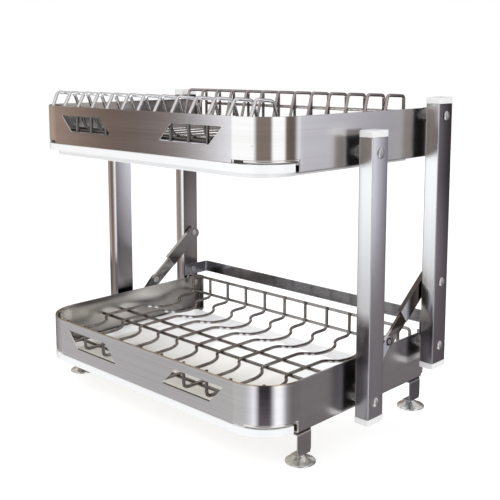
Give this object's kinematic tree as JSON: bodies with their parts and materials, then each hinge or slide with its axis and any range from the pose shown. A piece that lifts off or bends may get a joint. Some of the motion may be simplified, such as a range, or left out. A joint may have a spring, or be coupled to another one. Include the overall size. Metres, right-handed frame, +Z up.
{
  "type": "folding dish drying rack",
  "caption": "Folding dish rack with an upper plate rack, a lower wire basket and a pull-out drip tray under each, on swinging legs with knee braces.",
  "frame": {"origin": "on the worktop, under the middle of the rack", "axes": "+X to the right seen from the front, +Y to the back, +Z up"},
  "size_m": [0.4758, 0.3116, 0.3907],
  "materials": {
    "brushed_steel": "brushed",
    "wire_steel": "polished",
    "link_steel": "satin",
    "polished_steel": "polished",
    "white_plastic": "gloss"
  },
  "bodies": {
    "base": {"lower_frame": "brushed_steel", "lower_wire_basket": "wire_steel", "front_left_foot_bracket": "brushed_steel", "front_left_foot_pad": "polished_steel", "front_right_foot_bracket": "brushed_steel", "front_right_foot_pad": "polished_steel", "rear_left_foot_bracket": "brushed_steel", "rear_left_foot_pad": "polished_steel", "rear_right_foot_bracket": "brushed_steel", "rear_right_foot_pad": "polished_steel", "front_left_lower_pivot": "polished_steel", "front_right_lower_pivot": "polished_steel", "rear_left_lower_pivot": "polished_steel", "rear_right_lower_pivot": "polished_steel", "brace_foot_pin_left": "polished_steel", "brace_foot_pin_right": "polished_steel"},
    "lower_tray": {"lower_drip_tray": "white_plastic"},
    "rear_legs": {"rear_left_leg": "brushed_steel", "rear_left_leg_top_cap": "white_plastic", "rear_left_leg_bottom_cap": "white_plastic", "rear_right_leg": "brushed_steel", "rear_right_leg_top_cap": "white_plastic", "rear_right_leg_bottom_cap": "white_plastic", "rear_cross_bar": "brushed_steel", "cross_bar_rivet_left": "polished_steel", "cross_bar_rivet_right": "polished_steel", "brace_top_pin_left": "polished_steel", "brace_top_pin_right": "polished_steel"},
    "front_leg_left": {"front_left_leg": "brushed_steel", "front_left_leg_top_cap": "white_plastic", "front_left_leg_bottom_cap": "white_plastic"},
    "front_leg_right": {"front_right_leg": "brushed_steel", "front_right_leg_top_cap": "white_plastic", "front_right_leg_bottom_cap": "white_plastic"},
    "upper_tier": {"upper_frame": "brushed_steel", "upper_plate_rack": "wire_steel", "front_left_upper_pivot": "polished_steel", "front_right_upper_pivot": "polished_steel", "rear_left_upper_pivot": "polished_steel", "rear_right_upper_pivot": "polished_steel"},
    "upper_tray": {"upper_drip_tray": "white_plastic"},
    "brace_lower_left": {"brace_lower_link_left": "link_steel", "knee_rivet_inner_left": "polished_steel", "knee_rivet_outer_left": "polished_steel"},
    "brace_upper_left": {"brace_upper_link_left": "link_steel"},
    "brace_lower_right": {"brace_lower_link_right": "link_steel", "knee_rivet_inner_right": "polished_steel", "knee_rivet_outer_right": "polished_steel"},
    "brace_upper_right": {"brace_upper_link_right": "link_steel"}
  },
  "joints": [
    {"name": "rack_fold", "type": "hinge", "parent": "base", "child": "rear_legs", "pos_m": [0, 0.12295, 0.085], "axis": [1, 0, 0], "range_deg": [0, 84]},
    {"name": "upper_tier_swing", "type": "hinge", "parent": "rear_legs", "child": "upper_tier", "pos_m": [0, 0.12295, 0.3645], "axis": [1, 0, 0], "range_deg": [-84.05, 0]},
    {"name": "front_left_leg_swing", "type": "hinge", "parent": "base", "child": "front_leg_left", "pos_m": [0, -0.00655, 0.0503], "axis": [1, 0, 0], "range_deg": [0, 84.05]},
    {"name": "front_right_leg_swing", "type": "hinge", "parent": "base", "child": "front_leg_right", "pos_m": [0, -0.00655, 0.0503], "axis": [1, 0, 0], "range_deg": [0, 84.05]},
    {"name": "lower_tray_slide", "type": "slide", "parent": "base", "child": "lower_tray", "axis": [0, -1, 0], "range_m": [0, 0.25]},
    {"name": "upper_tray_slide", "type": "slide", "parent": "upper_tier", "child": "upper_tray", "axis": [0, -1, 0], "range_m": [0, 0.25]},
    {"name": "brace_foot_hinge_left", "type": "hinge", "parent": "base", "child": "brace_lower_left", "pos_m": [0, 0.00282, 0.06107], "axis": [1, 0, 0], "range_deg": [0, 116.07]},
    {"name": "brace_top_hinge_left", "type": "hinge", "parent": "rear_legs", "child": "brace_upper_left", "pos_m": [0, 0.12295, 0.1644], "axis": [1, 0, 0], "range_deg": [-114.74, 0]},
    {"name": "brace_foot_hinge_right", "type": "hinge", "parent": "base", "child": "brace_lower_right", "pos_m": [0, 0.00282, 0.06107], "axis": [1, 0, 0], "range_deg": [0, 116.07]},
    {"name": "brace_top_hinge_right", "type": "hinge", "parent": "rear_legs", "child": "brace_upper_right", "pos_m": [0, 0.12295, 0.1644], "axis": [1, 0, 0], "range_deg": [-114.74, 0]}
  ],
  "couplings": [
    {"joint": "upper_tier_swing", "follows": "rack_fold", "ratio": -1},
    {"joint": "front_left_leg_swing", "follows": "rack_fold", "ratio": 1},
    {"joint": "front_right_leg_swing", "follows": "rack_fold", "ratio": 1},
    {"joint": "brace_foot_hinge_left", "follows": "rack_fold", "ratio": 1.3812},
    {"joint": "brace_top_hinge_left", "follows": "rack_fold", "ratio": -1.3654},
    {"joint": "brace_foot_hinge_right", "follows": "rack_fold", "ratio": 1.3812},
    {"joint": "brace_top_hinge_right", "follows": "rack_fold", "ratio": -1.3654}
  ]
}
